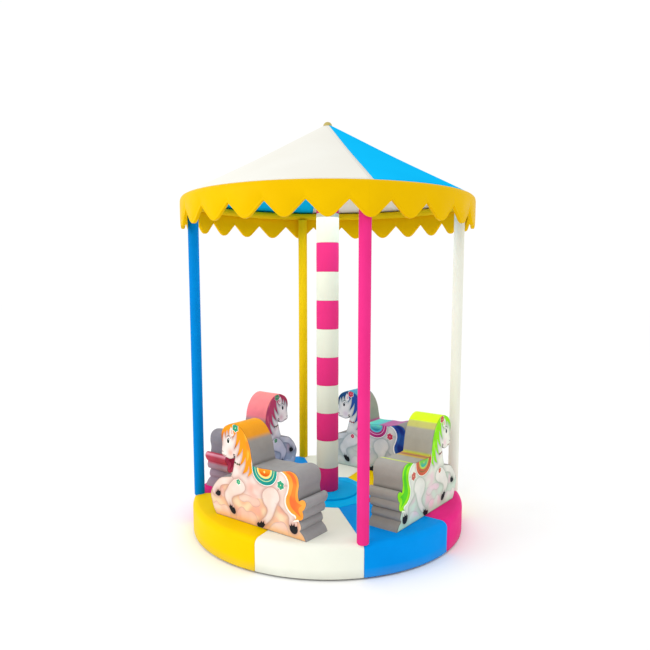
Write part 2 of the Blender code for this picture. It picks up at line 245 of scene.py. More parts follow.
def canopy_fabric(name, colour, shade):
    """PVC-coated polyester for awnings: a plain weave that prints through a smooth coat, nearly matt."""
    made, tree, shader, place = new_material(name, 0.60, 0.0)
    tint = blended(tree, ranged(tree, clouds(tree, place, 0.5, 3.0), 0.35, 0.70), colour, shade)
    # Both rows of thread along a seam show a little darker
    sewn = add(tree, "Attribute", attribute_name="from_seam").outputs["Fac"]
    sums = (("SUBTRACT", {1: THREAD_MIDDLE}), ("ABSOLUTE", {}),
            ("COMPARE", {1: THREAD_APART, 2: THREAD_THICK}), ("MULTIPLY", {1: 0.22}))
    for operation, numbers in sums:
        sewn = add(tree, "Math", {0: sewn}, numbers, operation=operation).outputs["Value"]
    # The real threads lie 1 mm apart, drawn at 4 mm so that a close view shows them
    scale = 1 / (0.004 * 20)      # 20 threads to a metre at scale 1
    cut = add(tree, "UVMap", uv_map="cut").outputs["UV"]
    normal = None
    for direction in ("X", "Y"):
        threads = add(tree, "TexWave", {"Vector": cut}, {"Scale": scale}, bands_direction=direction)
        normal = bumped(tree, threads.outputs["Fac"], 0.05, 0.0004, normal)
    folds = bumped(tree, clouds(tree, place, 0.25, 1.0), 0.3, 0.008, normal)
    feed(tree, shader, blended(tree, sewn, tint, "5A6068"), folds)
    return made


def printed_vinyl():
    """Digitally printed vinyl over cut foam: the ink lies in the cover, under the same satin grain."""
    made, tree, shader, place = new_material("vinyl_printed", 0.48, 0.04)
    ink = add(tree, "Attribute", attribute_name="print").outputs["Color"]
    drift = clouds(tree, place, 0.06, 5.0, Roughness=0.6)
    tint = blended(tree, 1.0, ink, ranged(tree, drift, 0.3, 0.7, 0.94, 1.03), "MULTIPLY")
    feed(tree, shader, tint, vinyl_grain(tree, place))
    return made


def moulded_plastic(name, colour, shade):
    """Injection-moulded plastic, a little yellowed: smooth, with a clear soft highlight."""
    made, tree, shader, place = new_material(name, 0.35, 0.3)
    drift = clouds(tree, place, 0.02, 3.0)
    feed(tree, shader, blended(tree, drift, colour, shade), bumped(tree, drift, 0.1, 0.0003))
    return made


def metal(name, colour, roughness, metallic, turned_marks=False):
    """Mill or machined steel: grey, with a sheen broken by rolling or turning marks."""
    made, tree, shader, place = new_material(name, roughness, 0.5, metallic)
    stretch = (1.0, 1.0, 40.0) if turned_marks else (3.0, 3.0, 3.0)
    drawn = add(tree, "Mapping", {"Vector": place}, {"Scale": stretch}).outputs["Vector"]
    marks = clouds(tree, drawn, 0.03, 5.0)
    tint = blended(tree, 1.0, colour, ranged(tree, marks, 0.0, 1.0, 0.75, 1.15), "MULTIPLY")
    rubbed = ranged(tree, marks, 0.0, 1.0, roughness - 0.08, roughness + 0.1)
    feed(tree, shader, tint, bumped(tree, marks, 0.2, 0.0003), rubbed)
    return made


def birch_plywood():
    """Birch plywood, sanded and unlacquered: pale brown with long grain and a few darker growth lines."""
    made, tree, shader, place = new_material("birch_plywood", 0.7, 0.4)
    grain = add(tree, "Mapping", {"Vector": place}, {"Scale": (1.0, 14.0, 14.0)}).outputs["Vector"]
    lines = clouds(tree, grain, 1 / 6.0, 6.0, Distortion=0.6)
    tint = blended(tree, ranged(tree, lines, 0.3, 0.7), "C9A26B", "A67B48")
    feed(tree, shader, tint, bumped(tree, lines, 0.15, 0.0005))
    return made


def painted_floor():
    """Matt white floor paint, slightly mottled."""
    made, tree, shader, place = new_material("painted_floor", 0.9, 0.0)
    feed(tree, shader, blended(tree, clouds(tree, place, 0.5, 3.0), "FFFFFF", "FDFDFD"))
    return made


VINYL = {
    "white": coated_vinyl("vinyl_white", "F1F3E5", "EDEFE0", dusty=0.5),
    "blue": coated_vinyl("vinyl_blue", "0098EF", "0090E6", dusty=0.3),
    "pink": coated_vinyl("vinyl_pink", "EC2A88", "E62680", dusty=0.3),
    "yellow": coated_vinyl("vinyl_yellow", "F4CD00", "EFC700", dusty=0.4),
}
# The column's covers carry painted shade, darker towards the foot of the column
COLUMN_VINYL = {
    "white": coated_vinyl("vinyl_column_white", "E3E8D8", "DEE4D2", shade_at_foot=0.20),
    "pink": coated_vinyl("vinyl_column_pink", "E33682", "DD327A", shade_at_foot=0.20),
}
POST_VINYL = {
    "pink": coated_vinyl("vinyl_post_pink", "EC358A", "E63082"),
    "white": coated_vinyl("vinyl_post_white", "EEEFE2", "EAEBDC"),
    "yellow": coated_vinyl("vinyl_post_yellow", "E4C212", "DEBB0E"),
    "blue": coated_vinyl("vinyl_post_blue", "0084D4", "007CCA"),
}
CANOPY_FABRICS = {
    "blue": canopy_fabric("canopy_fabric_blue", "12C0FB", "10B9F5"),
    "white": canopy_fabric("canopy_fabric_white", "ECEBE3", "E9E7DE"),
}
DISC_VINYL = coated_vinyl("vinyl_disc_blue", "00AAE8", "00A4E0")
OCTAGON_VINYL = coated_vinyl("vinyl_octagon_blue", "00B6F8", "00B0F0")
VALANCE_YELLOW = coated_vinyl("vinyl_valance_yellow", "ECBE00", "E6B700", roughness=0.40)
HOOP_YELLOW = coated_vinyl("vinyl_hoop_yellow", "E6C410", "DCBA0C")
FINIAL_PLASTIC = moulded_plastic("moulded_plastic_cream", "C4B468", "B8A558")


# Pieces

def finish_piece(bm, name, material, replaced, sharp=35.0):
    """Cleans a bmesh, makes it a named piece that rides on the platform, and hides the solid that it stands
    for."""
    bmesh.ops.remove_doubles(bm, verts=bm.verts, dist=0.00002)
    bmesh.ops.recalc_face_normals(bm, faces=bm.faces)
    mesh = bpy.data.meshes.new(name)
    bm.to_mesh(mesh)
    bm.free()
    mesh.materials.append(material)
    mesh.shade_smooth()
    mesh.set_sharp_from_angle(angle=radians(sharp))
    piece = bpy.data.objects.new(name, mesh)
    bpy.context.scene.collection.objects.link(piece)
    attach(piece, "platform")
    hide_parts(replaced)
    return piece


def of_kind(items, kind):
    """The vertices, edges or faces among what an operator gives back."""
    return [item for item in items if isinstance(item, kind)]


def close_holes(bm):
    bmesh.ops.holes_fill(bm, edges=[edge for edge in bm.edges if edge.is_boundary])


def cut_away(bm, point, normal):
    """Cuts off what lies past a plane, on the side that its normal points to."""
    bmesh.ops.bisect_plane(bm, geom=bm.verts[:] + bm.edges[:] + bm.faces[:], dist=1e-6, plane_co=point,
                           plane_no=normal, clear_outer=True)


def swept(profile, start=0.0, stop=360.0, steps=120, ring=True):
    """A profile of (radius, height) swept from one azimuth to another, its ends closed."""
    bm = bmesh.new()
    corners = [bm.verts.new(around(start, radius, z)) for radius, z in profile]
    pairs = list(zip(corners, corners[1:]))
    if ring:
        pairs.append((corners[-1], corners[0]))
    for pair in pairs:
        bm.edges.new(pair)
    full = stop - start > 359.9
    bmesh.ops.spin(bm, geom=bm.verts[:] + bm.edges[:], cent=(0, 0, 0), axis=(0, 0, 1),
                   angle=radians(stop - start), steps=steps, use_merge=full)
    bmesh.ops.remove_doubles(bm, verts=bm.verts, dist=0.00001)
    if ring and not full:
        close_holes(bm)
    bmesh.ops.recalc_face_normals(bm, faces=bm.faces)
    return bm


def soften(bm, radius, angle=50.0):
    """Rounds every edge that is sharper than an angle."""
    sharp = [edge for edge in bm.edges if edge.is_manifold and edge.calc_face_angle() > radians(angle)]
    bmesh.ops.bevel(bm, geom=sharp, offset=radius, offset_type="OFFSET", segments=3, profile=0.5,
                    affect="EDGES", clamp_overlap=True, material=-1)


def make_deck_pads():
    names = ("blue_right", "pink_right", "yellow_back", "white_back", "blue_left", "pink_left",
             "yellow_front", "white_front")
    pad_low = DECK_Z - PAD_THICK
    skirt_in = DRUM_R - SKIRT_THICK
    inner = 0.30                  # less than the octagon's edge, which then cuts each pad off
    clear = 0.01                  # degrees left free at each seam
    profile = [(inner, pad_low), (skirt_in, pad_low), (skirt_in, SKIRT_LOW)]
    profile += [(DRUM_R, height) for height in (SKIRT_LOW, 0.10)]
    profile += arc((DRUM_R - DECK_EDGE_R, DECK_Z - DECK_EDGE_R), DECK_EDGE_R, 0, 90, 8)
    profile += [(radius, DECK_Z) for radius in (0.86, 0.74, 0.60, 0.46, inner)]
    for name, (start, width) in zip(names, stretches(SEAM_AZIMUTHS)):
        stop = start + width
        bm = swept(profile, start + clear, stop - clear, round(width / 2))
        first = around(start, OCTAGON_R)
        outward = (first + around(stop, OCTAGON_R)).normalized()
        cut_away(bm, first + outward * GAP, -outward)
        close_holes(bm)
        soften(bm, SEAM_SOFT)
        for vert in bm.verts:
            place = vert.co
            from_seams = (place.dot(along(start)), -place.dot(along(stop)), (place - first).dot(outward))
            on_top = fade(DECK_Z - DECK_EDGE_R, DECK_Z, place.z)
            vert.co.z -= PAD_DIP * on_top * (1.0 - fade(0.0, DIP_REACH, min(from_seams)))
        colour = name.split("_")[0]
        finish_piece(bm, "pad_cover_" + name, VINYL[colour], "deck_pad_" + name)


def make_centre():
    bm = bmesh.new()
    corners = [bm.verts.new(around(azimuth, OCTAGON_R - GAP, DECK_Z)) for azimuth in SEAM_AZIMUTHS]
    top = bm.faces.new(corners)
    down = bmesh.ops.extrude_face_region(bm, geom=[top])
    bmesh.ops.translate(bm, vec=(0, 0, -PAD_THICK), verts=of_kind(down["geom"], bmesh.types.BMVert))
    bmesh.ops.recalc_face_normals(bm, faces=bm.faces)
    soften(bm, SEAM_SOFT, 40.0)
    finish_piece(bm, "octagon_cover", OCTAGON_VINYL, "centre_deck")

    low = DECK_Z + GAP
    bore = 0.03
    shoulder = DISC_R - SEAM_SOFT
    profile = [(bore, DISC_TOP), (0.12, DISC_TOP), (shoulder, DISC_TOP)]
    profile += arc((shoulder, DISC_TOP - SEAM_SOFT), SEAM_SOFT, 75, 0, 5) + [(DISC_R, low), (bore, low)]
    finish_piece(swept(profile), "disc_cover", DISC_VINYL, "centre_disc", sharp=60)


def make_column():
    soft = 0.003
    inner = CORE_R + GAP
    shoulder = COLUMN_R - soft
    for name in sorted(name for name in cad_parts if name.startswith("column_band")):
        low, high = (corner.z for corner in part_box(name))
        colour = name.split("_")[-1]
        profile = [(inner, high), (shoulder, high)] + arc((shoulder, high - soft), soft, 75, 0, 3)
        profile += [(COLUMN_R + SLEEVE_BELLY, (low + high) / 2)]
        profile += arc((shoulder, low + soft), soft, 0, -75, 3) + [(shoulder, low), (inner, low)]
        finish_piece(swept(profile, steps=64), name.replace("band", "sleeve"), COLUMN_VINYL[colour],
                     name, sharp=60)


def make_posts():
    soft = 0.007
    shoulder = POST_R - soft
    profile = [(0.0, POST_TOP_Z)] + arc((shoulder, POST_TOP_Z - soft), soft, 90, 0, 5)
    profile += arc((shoulder, POST_FOOT_Z + soft), soft, 0, -90, 5) + [(0.0, POST_FOOT_Z)]
    for (colour, vinyl), azimuth in zip(POST_VINYL.items(), POST_AZIMUTHS):
        bm = swept(profile, steps=72, ring=False)
        # The sleeve's closing flap runs down the side that faces the column
        for vert in bm.verts:
            outward = Vector((vert.co.x, vert.co.y, 0.0))
            on_skin = outward.length > POST_R - 0.001
            outward.normalize()
            if on_skin and outward.dot(around(azimuth)) < -cos(radians(FLAP_HALF)):
                vert.co += outward * FLAP_THICK
        bmesh.ops.translate(bm, vec=around(azimuth, DRUM_R - POST_R), verts=bm.verts)
        finish_piece(bm, "post_sleeve_" + colour, vinyl, "post_" + colour, sharp=60)


def make_hoop():
    sides = 20
    tube = arc((HOOP_R, HOOP_Z), HOOP_TUBE_R, 0, 360 - 360 / sides, sides - 1)
    finish_piece(swept(tube, steps=180), "hoop_sleeve", HOOP_YELLOW, "eave_hoop")


def make_canopy():
    inner = FINIAL_R * 0.7
    outer = HOOP_R + HOOP_TUBE_R
    below = 0.0006                # from the cone down to the cloth's outer side
    rings = 24
    stretch = hypot(1.0, SLOPE)
    profile = []
    for step in range(rings + 1):
        share = step / rings
        radius = inner + (outer - inner) * share
        profile.append((radius, cone_z(radius) - below - CANOPY_SAG * sin(pi * share) ** 2))
    names = ("blue_right", "white_back", "blue_left", "white_front")
    for name, (start, width) in zip(names, stretches(CANOPY_SEAMS)):
        bm = swept(profile, start, start + width, round(width / 2), ring=False)
        cut = bm.loops.layers.uv.new("cut")
        from_seam = bm.verts.layers.float.new("from_seam")
        for vert in bm.verts:
            turn = (azimuth_of(vert.co) - start + 0.001) % 360
            vert[from_seam] = hypot(vert.co.x, vert.co.y) * radians(min(turn, width - turn))
        for face in bm.faces:
            for corner in face.loops:
                place = corner.vert.co
                reach = hypot(place.x, place.y) * stretch
                turn = radians((azimuth_of(place) - start - width / 2 + 180) % 360 - 180) / stretch
                corner[cut].uv = (reach * sin(turn), reach * cos(turn))
            if face.normal.z < 0:
                face.normal_flip()
        colour = name.split("_")[0]
        piece = finish_piece(bm, "canopy_sheet_" + name, CANOPY_FABRICS[colour],
                             "canopy_" + name)
        wall = piece.modifiers.new("Wall", "SOLIDIFY")
        wall.thickness = CANOPY_FABRIC
        wall.offset = -1.0


def make_finial():
    low = cone_z(FINIAL_R)
    height = FINIAL_TOP - low
    brim = 0.006
    turns = [radians(7.5 * step) for step in range(13)]
    dome = [(FINIAL_R * sin(turn), low + height * cos(turn)) for turn in turns]
    bm = swept(dome + [(FINIAL_R, low - brim), (0.0, low - brim)], steps=48, ring=False)
    finish_piece(bm, "finial_cap", FINIAL_PLASTIC, "finial", sharp=50)


def lobe(phase):
    """How far a tooth hangs down, 0 at a notch and 1 at its tip: straight flanks and a round tip."""
    distance = abs((phase % 1.0) - 0.5) * 2
    round_half = 0.42             # the round tip's share of the tooth's width
    flank_drop = 0.72             # how far down the flanks end
    if distance > round_half:
        return (1 - distance) / (1 - round_half) * flank_drop
    return flank_drop + (1 - flank_drop) * (1 - (distance / round_half) ** 2)


def make_valance():
    inner = HOOP_R + HOOP_TUBE_R + GAP
    top = cone_z(inner)
    shoulder = EAVE_R - inner
    straight = top - 0.05
    soft = 0.006
    # The shoulder's steps outward and down, in parts of its width
    turn_down = ((0, 0), (0.30, 0.14), (0.55, 0.35), (0.75, 0.60), (0.90, 0.95), (1.0, 1.45))
    profile = [(inner + shoulder * out, top - shoulder * down) for out, down in turn_down]
    profile += [(EAVE_R, straight)]
    # Stitches draw the cloth in along a line above the hem
    stitched = ((0.0145, 0.0), (0.0125, 0.0009), (0.0105, 0.0))
    profile += [(EAVE_R - drawn, VALANCE_NOTCH_Z + soft + up) for up, drawn in stitched]
    profile += arc((EAVE_R - soft, VALANCE_NOTCH_Z + soft), soft, 0, -90, 4)
    profile += arc((inner + soft, VALANCE_NOTCH_Z + soft), soft, -90, -180, 4) + [(inner, straight)]
    hem_top = VALANCE_NOTCH_Z + soft + stitched[0][0] + 0.0001
    tooth = 360.0 / TOOTH_COUNT
    drop = VALANCE_NOTCH_Z - VALANCE_TIP_Z
    for name, (start, width) in zip(("right", "back", "left", "front"), stretches(POST_AZIMUTHS)):
        first = tooth * (int((start - tooth / 2) / tooth) - 1) + tooth / 2
        count = int(width / tooth) + 4
        bm = swept(profile, first, first + tooth * count, count * 20)
        for vert in bm.verts:
            if vert.co.z < hem_top:
                vert.co.z -= lobe((azimuth_of(vert.co) + tooth / 2) / tooth) * drop
        for azimuth, side in ((start, -1), (start + width, 1)):
            normal = along(azimuth) * side
            cut_away(bm, -normal * GAP / 2, normal)
        close_holes(bm)
        finish_piece(bm, "valance_band_" + name, VALANCE_YELLOW, "valance_" + name, sharp=50)


# The horses

# Colour, azimuth and heading, 1 where the horse looks towards rising azimuth
HORSES = (("orange", 323.0, -1), ("green", 53.0, 1), ("blue", 143.0, 1), ("pink", 233.0, -1))
HORSE_EDGE = 0.003                # rounding of the block's edges
OUTLINE_STEPS = 8                 # steps of the curve between two listed points of the outline

# Side outline in millimetres: forward from the horse's middle, up from the deck; 0 marks a sharp corner
HORSE_OUTLINE = (
    (-422, 0, 0), (-402, 34), (-374, 57, 0), (-384, 76), (-380, 100), (-366, 122, 0), (-391, 132),
    (-403, 158), (-396, 188, 0), (-414, 210), (-421, 250), (-400, 264), (-367, 250, 0), (-360, 290),
    (-368, 356), (-352, 404), (-308, 424), (-255, 418), (-200, 404), (-120, 403), (-40, 398), (18, 400, 0),
    (30, 460), (44, 525), (78, 590), (128, 636), (185, 652), (243, 638), (288, 606), (307, 560), (299, 505),
    (304, 460), (304, 432), (262, 414), (215, 410), (178, 432, 0), (190, 385), (205, 330), (222, 291, 0),
    (265, 282), (320, 265), (358, 235), (402, 180), (421, 132), (408, 80), (390, 32), (368, 0, 0),
)

# The printed pony, in the same millimetres
CLOUDS = (
    ((-20, -10, 0), (-14, 60), (30, 92), (80, 84), (118, 104), (160, 76), (176, 30), (182, -10, 0)),
    ((60, 150), (24, 128), (-20, 132), (-44, 160), (-20, 190), (40, 196), (110, 190), (150, 160),
     (110, 138)),
    ((240, 60), (286, 84), (330, 72), (366, 92), (400, 70), (440, 80, 0), (440, -10, 0), (226, -10, 0),
     (228, 30)),
    ((-290, -10, 0), (-276, 50), (-240, 84), (-196, 76), (-160, 60), (-120, 20), (-100, -10, 0)),
    ((286, 170), (306, 196), (324, 176), (314, 140), (292, 134)),
)
BODY = (
    (-400, 460, 0), (0, 460, 0), (10, 560, 0), (60, 660, 0), (190, 690, 0), (340, 660, 0), (345, 400, 0),
    (262, 396), (196, 400, 0), (206, 330), (228, 284), (214, 246), (176, 216), (120, 200), (60, 196),
    (0, 190), (-60, 196), (-130, 204), (-220, 176), (-300, 180), (-360, 230), (-400, 330),
)
LIMBS = (
    ((-184, 248), (-206, 190), (-246, 156), (-282, 128), (-284, 92), (-296, 44), (-326, 30), (-352, 44),
     (-352, 84), (-346, 124), (-340, 168), (-356, 220), (-350, 290), (-260, 320)),
    ((196, 262), (235, 296), (300, 284), (352, 256), (392, 214), (404, 176), (392, 140), (366, 128),
     (334, 132), (322, 152), (330, 178), (322, 204), (280, 226), (232, 236)),
    ((-92, 268), (-62, 226), (-70, 178), (-104, 134), (-92, 96), (-56, 56), (-16, 22), (-22, 4), (-58, 2),
     (-92, 34), (-136, 78), (-160, 122), (-182, 176), (-206, 236), (-160, 288)),
    ((92, 236), (120, 276), (176, 282), (218, 252), (262, 196), (284, 158), (278, 128), (256, 98),
     (236, 64), (214, 44), (186, 40), (180, 62), (198, 92), (216, 126), (206, 150), (168, 172), (118, 196)),
)
HOOVES = (
    ((322, 150), (330, 136), (352, 130), (374, 140, 0), (368, 160, 0), (362, 154, 0), (356, 176, 0),
     (349, 164, 0), (340, 180, 0), (334, 166, 0), (324, 172, 0)),
    ((180, 56), (186, 40), (208, 38), (232, 58), (246, 84, 0), (236, 84, 0), (234, 98, 0), (222, 86, 0),
     (214, 96, 0), (208, 80, 0), (194, 82, 0)),
    ((-86, 30, 0), (-58, 2), (-24, 2), (-12, 20), (-30, 36, 0), (-36, 28, 0), (-52, 50, 0), (-58, 38, 0),
     (-74, 52, 0), (-74, 38, 0)),
    ((-354, 48), (-328, 28), (-296, 42), (-288, 80, 0), (-300, 74, 0), (-304, 92, 0), (-316, 78, 0),
     (-328, 96, 0), (-334, 78, 0), (-352, 84, 0)),
)
TAIL = (
    ("halo", ((-184, 404, 0), (-228, 398), (-262, 372), (-276, 334), (-268, 286), (-250, 238), (-258, 188),
         (-296, 150), (-334, 132), (-318, 104, 0), (-368, 114), (-400, 84, 0), (-440, 160, 0),
         (-440, 440, 0), (-220, 450, 0))),
    ("tail", ((-196, 408, 0), (-236, 404), (-270, 378), (-286, 334), (-278, 286), (-260, 238), (-268, 194),
         (-302, 160), (-342, 142), (-330, 118, 0), (-368, 126), (-396, 100, 0), (-404, 160), (-440, 190, 0),
         (-440, 280, 0), (-440, 440, 0), (-220, 450, 0))),
    ("tail_core", ((-262, 414), (-300, 394), (-318, 346), (-306, 290), (-290, 240), (-300, 202),
         (-336, 172), (-382, 148, 0), (-362, 194), (-390, 226, 0), (-344, 244), (-340, 296), (-350, 350),
         (-332, 398), (-298, 418))),
)
MANE = (
    ("mane", ((214, 646, 0), (196, 606), (200, 552, 0), (178, 580), (158, 606, 0), (166, 540),
         (184, 484, 0), (152, 520), (132, 554, 0), (140, 490), (162, 434, 0), (126, 466), (106, 500, 0),
         (112, 440), (136, 380, 0), (100, 412), (82, 446, 0), (86, 390), (112, 328, 0), (72, 352),
         (52, 394, 0), (50, 362), (66, 316, 0), (28, 350), (4, 396), (-10, 440, 0), (0, 560, 0),
         (60, 680, 0), (214, 700, 0))),
    ("mane_lock", ((124, 640, 0), (92, 590), (76, 530), (70, 470), (78, 404, 0), (52, 452), (48, 524),
         (64, 590))),
    ("forelock", ((186, 664, 0), (202, 622), (208, 588, 0), (222, 616, 0), (232, 596), (236, 566, 0),
         (248, 604, 0), (260, 584), (264, 552, 0), (276, 590, 0), (290, 556), (298, 500, 0), (318, 560),
         (330, 600, 0), (290, 680, 0))),
)
EAR = ((192, 572), (194, 600), (212, 630, 0), (222, 602), (216, 574))
EAR_INNER = ((199, 580), (201, 598), (211, 616, 0), (215, 598), (211, 580))
EYE_RIM = ((228, 546), (238, 552), (250, 544), (254, 526), (246, 510), (234, 514), (227, 530))
EYE = ((231, 545), (240, 548), (249, 539), (251, 525), (244, 513), (235, 517), (230, 531))
# Each brush line starts with its width
FACE_LINES = (
    (5.0, (222, 560), (232, 566), (244, 563), (256, 552)),
    (3.5, (226, 548), (218, 552), (210, 558)),
    (5.0, (304, 448), (294, 452), (288, 444)),
    (6.0, (302, 580), (312, 560), (306, 520), (304, 480)),
)
MOUTH = (4.0, (304, 424), (286, 428), (268, 424), (258, 432))
BEADS = ((178, 392), (160, 386), (142, 386))
# A flower's middle and radius, and a spot's middle and size; the first spot is the cheek
ROSETTES = ((172, 626, 28), (152, 266, 20), (-218, 318, 30))
BLUSH_SPOTS = ((222, 452, 26), (20, 240, 60), (-130, 250, 50), (330, 180, 50), (-20, 110, 60),
               (120, 60, 70), (-220, 120, 60), (160, 330, 40))
# Bands of the saddle cloth from the lowest up, each with its size
CLOTH_BANDS = (("cloth_edge", 1.04), ("cloth", 1.0), ("cloth_line", 0.8), ("cloth", 0.75),
               ("cloth_light", 0.62), ("cloth_centre", 0.5))

# Shapes that cast a soft shade on what lies under them, and shapes that are airbrushed
CASTING = ("limb", "tail", "mane", "forelock", "cloth_edge", "hoof")
SOFT = ("ground", "cloud", "coat", "limb")

# Each print colour runs from its first to its second shade. The block's side takes its colours
# along the outline: "side" says how many listed points on each one lies.
PRINTS = {
    "orange": {
        "ground": ("F4D8B4", "F0BC90"), "cloud": ("F4CBB8", "F2DAC8"), "coat": ("F1E7E0", "F0DAD0"),
        "limb": ("F1E6DD", "F0DDD0"), "blush": "F0AE9C", "shade": "BC8C80", "low": "F1B466",
        "halo": ("FFFFFF", "FFF6E8"), "tail": ("FF9C38", "FFA848"), "tail_core": ("F9713A", "FB8A3A"),
        "hoof": ("2A2A2C", "232326"), "mane": ("FB9A1E", "A84E1C"), "mane_lock": ("FFB53C", "F6902A"),
        "ear_inner": "F7B9A6", "forelock": ("FB9A1E", "B4571C"), "cloth_edge": "FFFDF6",
        "cloth": ("22998C", "1E8E86"), "cloth_line": "BFE0A0", "cloth_light": "FBE085",
        "cloth_centre": ("F59A2A", "DE5A10"), "eye": "14241C", "dark": "3A2630", "mouth": "9A4A3E",
        "bead": "4A4A1E", "flower": ("52BA86", "309A78"), "flower_centre": "E8F0A0",
        # Painted shade: the darker stops at 5, 12 and 21 lie in the side's inner corners
        "side": ((4.6, "9A9A9A"), (5, "747474"), (5.5, "9A9A9A"), (11.2, "9E9E9E"), (12, "787878"),
                 (12.7, "989898"), (20.6, "9A9896"), (21, "7E7C7A"), (21.4, "969492"), (23.3, "9A9690"),
                 (23.9, "E89A28"), (26, "F4A414"), (28.5, "F09C10"), (29.2, "949290")),
    },
    "green": {
        "ground": ("CFE3D2", "C2DCC8"), "cloud": ("DCE8DA", "EBD6DC"), "coat": ("EEF0E0", "DDE8D6"),
        "limb": ("EAEFE2", "E2EADC"), "blush": "EBCBD2", "shade": "A8B4A4", "low": "BDEBC8",
        "halo": ("FAFFF0", "F0FADC"), "tail": ("A0F020", "82DC14"), "tail_core": ("5AD728", "50C828"),
        "hoof": ("23262A", "1E2024"), "mane": ("8CE614", "78C832"), "mane_lock": ("A5F53C", "82DC1E"),
        "ear_inner": "E1B9AF", "forelock": ("8CE614", "6EB93C"), "cloth_edge": "FAF5E6",
        "cloth": ("D2694B", "C85F46"), "cloth_line": "826E3C", "cloth_light": "AFD25A",
        "cloth_centre": ("78C83C", "3CAFA0"), "eye": "1E2D37", "dark": "37302D", "mouth": "965546",
        "bead": "733C32", "flower": ("D2745C", "C4605A"), "flower_centre": "F0C8A0",
        # Painted shade: the darker stops at 5 and 12 lie in the side's inner corners
        "side": ((0, "8F8D86"), (4.6, "918F88"), (5, "6E6C66"), (5.5, "959289"), (11.2, "9A978E"),
                 (12, "706E68"), (12.7, "9A978E"), (16.2, "A5A39B"), (16.5, "C8DC5A"), (17, "C8DC5A"),
                 (17.3, "A5A39B"), (19.3, "A5A396"), (19.7, "C8AA46"), (20.2, "AA6E5A"), (20.7, "C8AA46"),
                 (21, "BEC850"), (21.3, "A5A396"), (23.6, "A5A396"), (23.8, "C3C36E"), (24.3, "C3C36E"),
                 (24.5, "D9FF28"), (28.5, "D2FA28"), (29.2, "A5A09B")),
    },
    "blue": {
        "ground": ("C3CDCD", "B9C8C3"), "cloud": ("D2D7D7", "C8D2CD"), "coat": ("E6E9E6", "CDD5D2"),
        "limb": ("DCE2E1", "CDD7D7"), "blush": "CDC3D2", "shade": "8CA0A5", "low": "B4CDC3",
        "halo": ("F5FAFA", "F0F5F5"), "tail": ("28469B", "3264AF"), "tail_core": ("1E3282", "2850A0"),
        "hoof": ("1E2328", "191C20"), "mane": ("28509B", "1E3C78"), "mane_lock": ("4678C3", "32559B"),
        "ear_inner": "D7AFC3", "forelock": ("1E4B7D", "14375F"), "cloth_edge": "FAF5FA",
        "cloth": ("B43C82", "A03273"), "cloth_line": "E1A5CD", "cloth_light": "5AB9D2",
        "cloth_centre": ("6EE1CD", "2D82A5"), "eye": "141E2D", "dark": "232328", "mouth": "786473",
        "bead": "8C2D3C", "flower": ("D24B6E", "C33C5A"), "flower_centre": "F5B4C3",
        "side": ((16.3, "8C8C87"), (16.8, "B4649B"), (18.9, "B4649B"), (19.2, "5AC3C8"), (20.6, "6EE1CD"),
                 (21, "BE508C"), (21.4, "939888"), (24.4, "939888"), (25, "4A9EBC"), (28.5, "4A9EBC"),
                 (29.2, "8C8C87")),
    },
    "pink": {
        "ground": ("B0BAC8", "A0AEC4"), "cloud": ("D2DAE6", "BEC8DA"), "coat": ("FAF4F4", "D8DCE4"),
        "limb": ("DCE0E8", "CCD4E0"), "blush": "DCB4BE", "shade": "6E7888", "low": "A5AFC3",
        "halo": ("E6E6EB", "DCDCE6"), "tail": ("C84B6E", "B93C5F"), "tail_core": ("A52D50", "9B2846"),
        "hoof": ("1E1E28", "191920"), "mane": ("BE466E", "963255"), "mane_lock": ("D75F82", "B4466E"),
        "ear_inner": "D29BAA", "forelock": ("B43C5F", "8C2D4B"), "cloth_edge": "E1E6DC",
        "cloth": ("32785F", "2D6E55"), "cloth_line": "9BC39B", "cloth_light": "C8D28C",
        "cloth_centre": ("64A06E", "3C8264"), "eye": "14141E", "dark": "2D2832", "mouth": "7D3C4B",
        "bead": "3C4632", "flower": ("64A078", "4B8C69"), "flower_centre": "C8D2A0",
        "side": ((4.5, "A08C98"), (7.2, "B0909C"), (8.2, "C8465A"), (9.6, "C8465A"), (10.2, "F0A0B0"),
                 (10.8, "C8465A"), (11.6, "C8465A"), (12.2, "8C8890"), (21.6, "918C8C"), (22.4, "F0808C"),
                 (24, "FA8C90"), (26, "FF9490"), (28.5, "FF9490"), (29.2, "8C8890")),
    },
}


def curved(points, steps):
    """A closed curve through points, each stretch in some steps; a point with a third number is a corner."""
    roundness = 2.5614            # with it, four points on a circle give a circle
    handles = []
    for index, point in enumerate(points):
        here = Vector(point[:2])
        back = here - Vector(points[index - 1][:2])
        ahead = Vector(points[(index + 1) % len(points)][:2]) - here
        if len(point) > 2:
            handles.append((here - back / 3, here + ahead / 3))
            continue
        way = ahead.normalized() + back.normalized()
        size = max(way.length * roundness, 0.001)
        handles.append((here - way * back.length / size, here + way * ahead.length / size))
    made = []
    for index, point in enumerate(points):
        follow = (index + 1) % len(points)
        corners = (Vector(point[:2]), handles[index][1], handles[follow][0], Vector(points[follow][:2]))
        for step in range(steps):
            t = step / steps
            weights = ((1 - t) ** 3, 3 * t * (1 - t) ** 2, 3 * t * t * (1 - t), t ** 3)
            made.append(sum((corner * weight for corner, weight in zip(corners, weights)), Vector((0, 0))))
    return made


def stroke(width, *points):
    """A brush line through points that thins towards its ends, as a closed outline."""
    left, right = [], []
    last = len(points) - 1
    for index, point in enumerate(points):
        before, after = points[max(index - 1, 0)], points[min(index + 1, last)]
        way = (Vector(after) - Vector(before)).normalized()
        half = width / 2 * (0.25 + 0.75 * sin(pi * (index + 0.3) / (last + 0.6)))
        left.append(Vector(point) + Vector((-way.y, way.x)) * half)
        right.append(Vector(point) - Vector((-way.y, way.x)) * half)
    return left + right[::-1]


